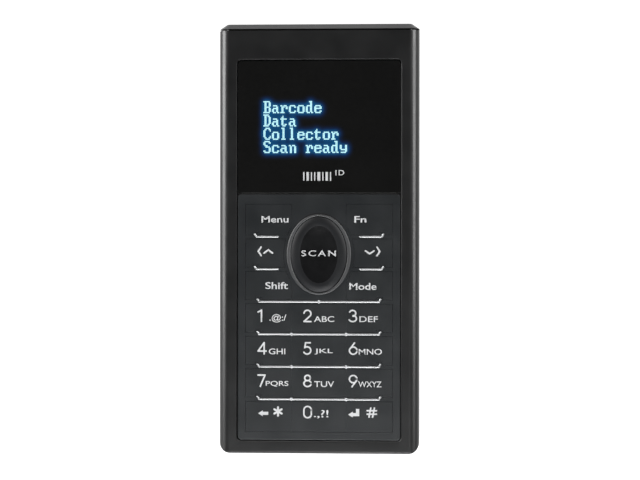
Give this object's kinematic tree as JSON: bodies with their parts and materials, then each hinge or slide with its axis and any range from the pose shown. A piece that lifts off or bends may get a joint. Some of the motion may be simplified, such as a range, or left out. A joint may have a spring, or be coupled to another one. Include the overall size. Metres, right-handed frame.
{
  "type": "handheld barcode data collector",
  "caption": "Slim handheld barcode data collector: display window and flush keypad with a raised oval scan key on the front, laser scan window in the nose, charging socket in the tail.",
  "frame": {"origin": "centre of the body's outline, on the back face that it lies on", "axes": "+Z out of the front face with the keys; +Y along the body to the nose with the scan window; +X to the right of someone reading the display"},
  "size_m": [0.051, 0.1094, 0.0206],
  "materials": {
    "housing_plastic": "fine satin texture",
    "cap_plastic": "satin",
    "key_plastic": "fine satin texture",
    "scan_key_plastic": "semi-gloss",
    "ring_plastic": "semi-gloss",
    "bar_metal": "bright plated",
    "window_plastic": "polished, smoked",
    "scan_window_red": "polished, dark red filter",
    "rubber_black": "matt",
    "silicone_grey": "matt",
    "adhesive_black": "matt tape",
    "steel": "satin",
    "tin_plate": "bright",
    "board_green": "solder mask",
    "chip_black": "moulded epoxy",
    "display_glass": "polished",
    "holder_plastic": "matt",
    "flex_film": "polyimide film",
    "engine_zinc": "die-cast",
    "laser_brass": "turned",
    "mirror_face": "polished",
    "coil_copper": "enamelled wire",
    "battery_wrap": "shrink film",
    "foam_dark": "foam",
    "contact_gold": "gold plated",
    "label_film": "printed film"
  },
  "bodies": {
    "body": {"front_housing": "housing_plastic", "rear_housing": "housing_plastic", "nose_cap": "cap_plastic", "scan_window": "scan_window_red", "scan_window_seal": "rubber_black", "case_seal": "rubber_black", "case_screws": "steel", "display_window": "window_plastic", "panel_adhesive": "adhesive_black", "keypad_plate": "key_plastic", "row_bars": "bar_metal", "scan_key_ring": "ring_plastic", "key_mat": "silicone_grey", "dome_sheet": "tin_plate", "main_board": "board_green", "board_screws": "steel", "board_chips": "chip_black", "radio_module": "tin_plate", "display_panel": "display_glass", "display_holder": "holder_plastic", "display_gasket": "rubber_black", "display_flex": "flex_film", "engine_chassis": "engine_zinc", "engine_board": "board_green", "laser_module": "laser_brass", "mirror_pivot": "steel", "drive_coil": "coil_copper", "engine_flex": "flex_film", "battery": "battery_wrap", "battery_pad": "foam_dark", "battery_contacts": "contact_gold", "usb_socket": "tin_plate", "buzzer": "chip_black", "vibration_motor": "steel", "backup_cell": "steel", "rating_label": "label_film"},
    "key_1_cap": {"key_1": "key_plastic"},
    "key_2_cap": {"key_2": "key_plastic"},
    "key_3_cap": {"key_3": "key_plastic"},
    "key_4_cap": {"key_4": "key_plastic"},
    "key_5_cap": {"key_5": "key_plastic"},
    "key_6_cap": {"key_6": "key_plastic"},
    "key_7_cap": {"key_7": "key_plastic"},
    "key_8_cap": {"key_8": "key_plastic"},
    "key_9_cap": {"key_9": "key_plastic"},
    "key_star_cap": {"key_star": "key_plastic"},
    "key_0_cap": {"key_0": "key_plastic"},
    "key_hash_cap": {"key_hash": "key_plastic"},
    "key_menu_cap": {"key_menu": "key_plastic"},
    "key_fn_cap": {"key_fn": "key_plastic"},
    "key_back_cap": {"key_back": "key_plastic"},
    "key_forward_cap": {"key_forward": "key_plastic"},
    "key_shift_cap": {"key_shift": "key_plastic"},
    "key_mode_cap": {"key_mode": "key_plastic"},
    "scan_key_cap": {"scan_key": "scan_key_plastic"},
    "mirror": {"scan_mirror": "mirror_face"}
  },
  "joints": [
    {"name": "key_1_press", "type": "slide", "parent": "body", "child": "key_1_cap", "axis": [0, 0, -1], "range_m": [0, 0.00035], "stiffness_N_per_m": 4000, "deforming": ["key_mat"]},
    {"name": "key_2_press", "type": "slide", "parent": "body", "child": "key_2_cap", "axis": [0, 0, -1], "range_m": [0, 0.00035], "stiffness_N_per_m": 4000, "deforming": ["key_mat"]},
    {"name": "key_3_press", "type": "slide", "parent": "body", "child": "key_3_cap", "axis": [0, 0, -1], "range_m": [0, 0.00035], "stiffness_N_per_m": 4000, "deforming": ["key_mat"]},
    {"name": "key_4_press", "type": "slide", "parent": "body", "child": "key_4_cap", "axis": [0, 0, -1], "range_m": [0, 0.00035], "stiffness_N_per_m": 4000, "deforming": ["key_mat"]},
    {"name": "key_5_press", "type": "slide", "parent": "body", "child": "key_5_cap", "axis": [0, 0, -1], "range_m": [0, 0.00035], "stiffness_N_per_m": 4000, "deforming": ["key_mat"]},
    {"name": "key_6_press", "type": "slide", "parent": "body", "child": "key_6_cap", "axis": [0, 0, -1], "range_m": [0, 0.00035], "stiffness_N_per_m": 4000, "deforming": ["key_mat"]},
    {"name": "key_7_press", "type": "slide", "parent": "body", "child": "key_7_cap", "axis": [0, 0, -1], "range_m": [0, 0.00035], "stiffness_N_per_m": 4000, "deforming": ["key_mat"]},
    {"name": "key_8_press", "type": "slide", "parent": "body", "child": "key_8_cap", "axis": [0, 0, -1], "range_m": [0, 0.00035], "stiffness_N_per_m": 4000, "deforming": ["key_mat"]},
    {"name": "key_9_press", "type": "slide", "parent": "body", "child": "key_9_cap", "axis": [0, 0, -1], "range_m": [0, 0.00035], "stiffness_N_per_m": 4000, "deforming": ["key_mat"]},
    {"name": "key_star_press", "type": "slide", "parent": "body", "child": "key_star_cap", "axis": [0, 0, -1], "range_m": [0, 0.00035], "stiffness_N_per_m": 4000, "deforming": ["key_mat"]},
    {"name": "key_0_press", "type": "slide", "parent": "body", "child": "key_0_cap", "axis": [0, 0, -1], "range_m": [0, 0.00035], "stiffness_N_per_m": 4000, "deforming": ["key_mat"]},
    {"name": "key_hash_press", "type": "slide", "parent": "body", "child": "key_hash_cap", "axis": [0, 0, -1], "range_m": [0, 0.00035], "stiffness_N_per_m": 4000, "deforming": ["key_mat"]},
    {"name": "key_menu_press", "type": "slide", "parent": "body", "child": "key_menu_cap", "axis": [0, 0, -1], "range_m": [0, 0.00035], "stiffness_N_per_m": 4000, "deforming": ["key_mat"]},
    {"name": "key_fn_press", "type": "slide", "parent": "body", "child": "key_fn_cap", "axis": [0, 0, -1], "range_m": [0, 0.00035], "stiffness_N_per_m": 4000, "deforming": ["key_mat"]},
    {"name": "key_back_press", "type": "slide", "parent": "body", "child": "key_back_cap", "axis": [0, 0, -1], "range_m": [0, 0.00035], "stiffness_N_per_m": 4000, "deforming": ["key_mat"]},
    {"name": "key_forward_press", "type": "slide", "parent": "body", "child": "key_forward_cap", "axis": [0, 0, -1], "range_m": [0, 0.00035], "stiffness_N_per_m": 4000, "deforming": ["key_mat"]},
    {"name": "key_shift_press", "type": "slide", "parent": "body", "child": "key_shift_cap", "axis": [0, 0, -1], "range_m": [0, 0.00035], "stiffness_N_per_m": 4000, "deforming": ["key_mat"]},
    {"name": "key_mode_press", "type": "slide", "parent": "body", "child": "key_mode_cap", "axis": [0, 0, -1], "range_m": [0, 0.00035], "stiffness_N_per_m": 4000, "deforming": ["key_mat"]},
    {"name": "scan_key_press", "type": "slide", "parent": "body", "child": "scan_key_cap", "axis": [0, 0, -1], "range_m": [0, 0.00035], "stiffness_N_per_m": 6000, "deforming": ["key_mat"]},
    {"name": "mirror_swing", "type": "hinge", "parent": "body", "child": "mirror", "pos_m": [0.0032, 0.0406, 0.00975], "axis": [0, 0, 1], "range_deg": [-12, 12], "stiffness_Nm_per_rad": 0.0003}
  ]
}
